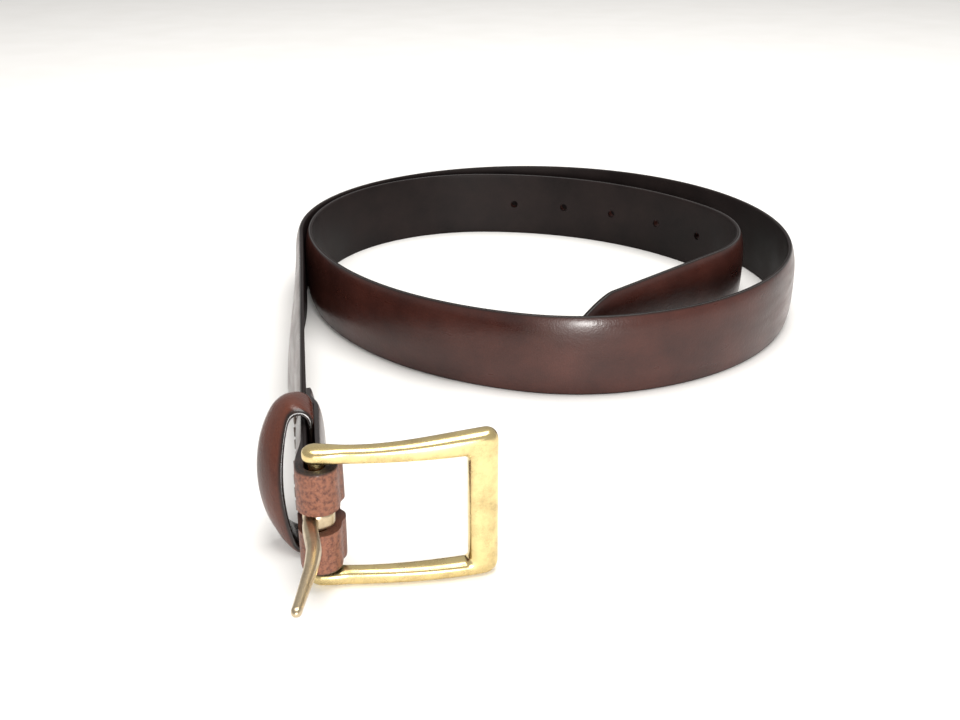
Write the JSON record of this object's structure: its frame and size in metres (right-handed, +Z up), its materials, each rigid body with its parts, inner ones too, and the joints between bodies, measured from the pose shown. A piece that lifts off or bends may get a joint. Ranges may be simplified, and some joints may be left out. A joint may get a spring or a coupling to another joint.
{
  "type": "leather belt",
  "caption": "Narrow leather dress belt standing on edge in a loose coil, with a swinging brass heel-bar buckle, a fixed keeper and a punched, tapered tip.",
  "frame": {"origin": "on the table, under the middle of the whole belt's box", "axes": "+Z up, across the strap's width; the buckle end towards -Y"},
  "size_m": [0.2134, 0.3662, 0.0406],
  "materials": {
    "grain_leather": "waxed",
    "lining_leather": "matt",
    "filler_board": "matt",
    "brass": "satin",
    "staple_steel": "zinc plated",
    "thread": "waxed"
  },
  "bodies": {
    "front_left": {"front_left_grain": "grain_leather", "front_left_filler": "filler_board", "front_left_lining": "lining_leather"},
    "front_right": {"front_right_grain": "grain_leather", "front_right_filler": "filler_board", "front_right_lining": "lining_leather"},
    "right_side": {"right_side_grain": "grain_leather", "right_side_filler": "filler_board", "right_side_lining": "lining_leather"},
    "outer_back": {"outer_back_grain": "grain_leather", "outer_back_filler": "filler_board", "outer_back_lining": "lining_leather"},
    "outer_left": {"outer_left_grain": "grain_leather", "outer_left_filler": "filler_board", "outer_left_lining": "lining_leather"},
    "lead": {"lead_grain": "grain_leather", "lead_filler": "filler_board", "lead_lining": "lining_leather", "turned_back_end": "grain_leather", "keeper": "grain_leather", "keeper_staple": "staple_steel", "stitches": "thread"},
    "buckle": {"buckle_frame": "brass", "heel_bar": "brass"},
    "prong": {"prong": "brass"},
    "left_side": {"left_side_grain": "grain_leather", "left_side_filler": "filler_board", "left_side_lining": "lining_leather"},
    "inner_turn": {"inner_turn_grain": "grain_leather", "inner_turn_filler": "filler_board", "inner_turn_lining": "lining_leather"},
    "punched": {"punched_grain": "grain_leather", "punched_filler": "filler_board", "punched_lining": "lining_leather"},
    "curl": {"curl_grain": "grain_leather", "curl_filler": "filler_board", "curl_lining": "lining_leather"},
    "tip": {"tip_grain": "grain_leather", "tip_filler": "filler_board", "tip_lining": "lining_leather"}
  },
  "joints": [
    {"name": "outer_left_flex", "type": "hinge", "parent": "outer_left", "child": "lead", "pos_m": [-0.10564, 0.07055, 0.015], "axis": [0, 0, -1], "range_deg": [0, 7]},
    {"name": "outer_back_flex", "type": "hinge", "parent": "outer_back", "child": "outer_left", "pos_m": [-0.07525, 0.1552, 0.015], "axis": [0, 0, -1], "range_deg": [0, 28]},
    {"name": "right_side_flex", "type": "hinge", "parent": "right_side", "child": "outer_back", "pos_m": [0.04983, 0.16978, 0.015], "axis": [0, 0, -1], "range_deg": [0, 28]},
    {"name": "front_right_flex", "type": "hinge", "parent": "front_right", "child": "right_side", "pos_m": [0.10533, 0.05674, 0.015], "axis": [0, 0, -1], "range_deg": [0, 14]},
    {"name": "front_left_flex", "type": "hinge", "parent": "front_left", "child": "front_right", "pos_m": [0.02939, -0.02731, 0.015], "axis": [0, 0, -1], "range_deg": [0, 10.5]},
    {"name": "left_side_flex", "type": "hinge", "parent": "front_left", "child": "left_side", "pos_m": [-0.06846, 0.00603, 0.015], "axis": [0, 0, 1], "range_deg": [0, 10.5]},
    {"name": "inner_turn_flex", "type": "hinge", "parent": "left_side", "child": "inner_turn", "pos_m": [-0.09635, 0.11781, 0.015], "axis": [0, 0, 1], "range_deg": [0, 14.7]},
    {"name": "punched_flex", "type": "hinge", "parent": "inner_turn", "child": "punched", "pos_m": [-0.02435, 0.16665, 0.015], "axis": [0, 0, 1], "range_deg": [0, 14]},
    {"name": "curl_flex", "type": "hinge", "parent": "punched", "child": "curl", "pos_m": [0.08512, 0.09637, 0.015], "axis": [0, 0, 1], "range_deg": [0, 14.7]},
    {"name": "tip_flex", "type": "hinge", "parent": "curl", "child": "tip", "pos_m": [0.07172, 0.04139, 0.015], "axis": [0, 0, 1], "range_deg": [0, 7]},
    {"name": "buckle_swing", "type": "hinge", "parent": "lead", "child": "buckle", "pos_m": [-0.0679, -0.14108, 0.0203], "axis": [0, 0, 1], "range_deg": [-82, 66]},
    {"name": "prong_swing", "type": "hinge", "parent": "buckle", "child": "prong", "pos_m": [-0.0679, -0.14108, 0.0203], "axis": [0, 0, 1], "range_deg": [-5, 89]}
  ],
  "couplings": [
    {"joint": "outer_left_flex", "follows": "front_right_flex", "ratio": 0.5},
    {"joint": "outer_back_flex", "follows": "front_right_flex", "ratio": 2},
    {"joint": "right_side_flex", "follows": "front_right_flex", "ratio": 2},
    {"joint": "front_left_flex", "follows": "front_right_flex", "ratio": 0.75},
    {"joint": "left_side_flex", "follows": "front_right_flex", "ratio": 0.75},
    {"joint": "inner_turn_flex", "follows": "front_right_flex", "ratio": 1.05},
    {"joint": "punched_flex", "follows": "front_right_flex", "ratio": 1},
    {"joint": "curl_flex", "follows": "front_right_flex", "ratio": 1.05},
    {"joint": "tip_flex", "follows": "front_right_flex", "ratio": 0.5}
  ]
}
